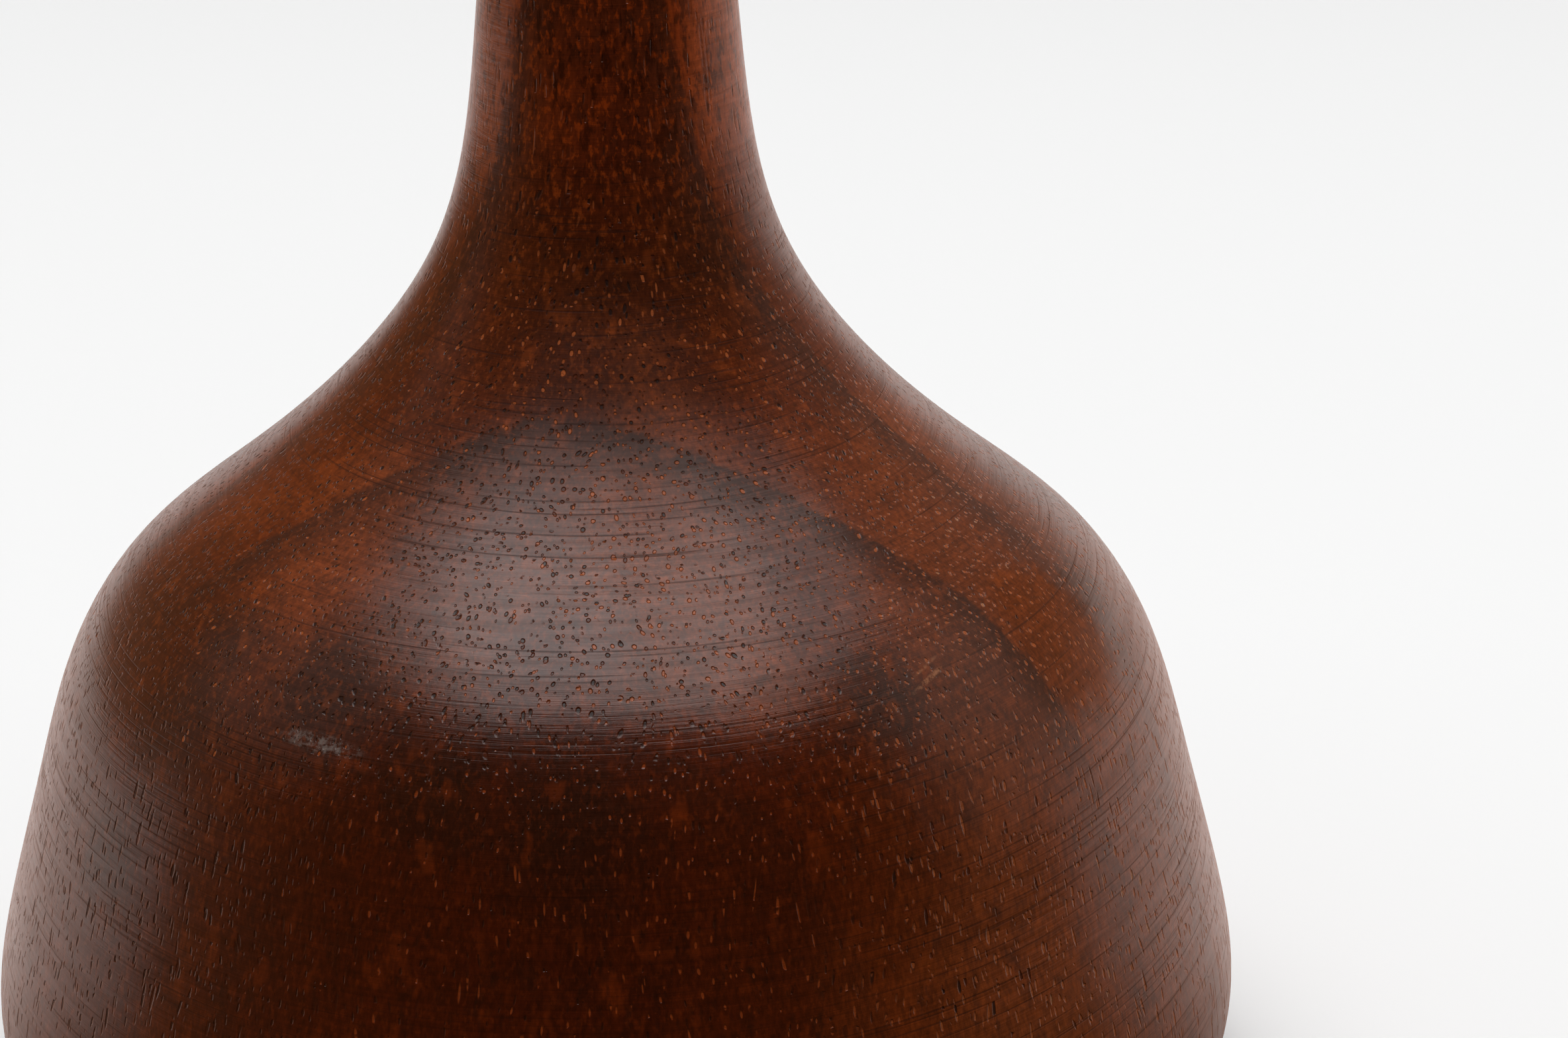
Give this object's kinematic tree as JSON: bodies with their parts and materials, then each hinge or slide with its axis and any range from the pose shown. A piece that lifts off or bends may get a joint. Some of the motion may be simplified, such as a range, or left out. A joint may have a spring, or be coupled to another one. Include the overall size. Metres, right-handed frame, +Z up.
{
  "type": "dip pen holder",
  "caption": "Turned hardwood desk stand with a bell-shaped weighted foot, a slender neck and a brass-lined socket that holds a dip pen upright.",
  "frame": {"origin": "centre of the felt's underside, where the stand rests on the desk", "axes": "+Z up along the turning axis, +X to the right and +Y away from the viewer; the body is round, so X and Y only place the screws"},
  "size_m": [0.06, 0.06, 0.1026],
  "materials": {
    "turned_wood": "satin oiled and waxed dark red-brown hardwood with open pores",
    "brass": "turned brass, softly polished",
    "cork": "agglomerated cork",
    "ballast_steel": "turned mild steel",
    "screw_steel": "bright steel",
    "fibreboard": "pressed fibreboard",
    "felt": "wool felt"
  },
  "bodies": {
    "root": {"stand_body": "turned_wood", "mouth_collar": "brass", "socket_tube": "brass", "tail_cushion": "cork", "ballast_disc": "ballast_steel", "ballast_screws": "screw_steel", "recess_cover": "fibreboard", "base_felt": "felt"}
  },
  "joints": []
}
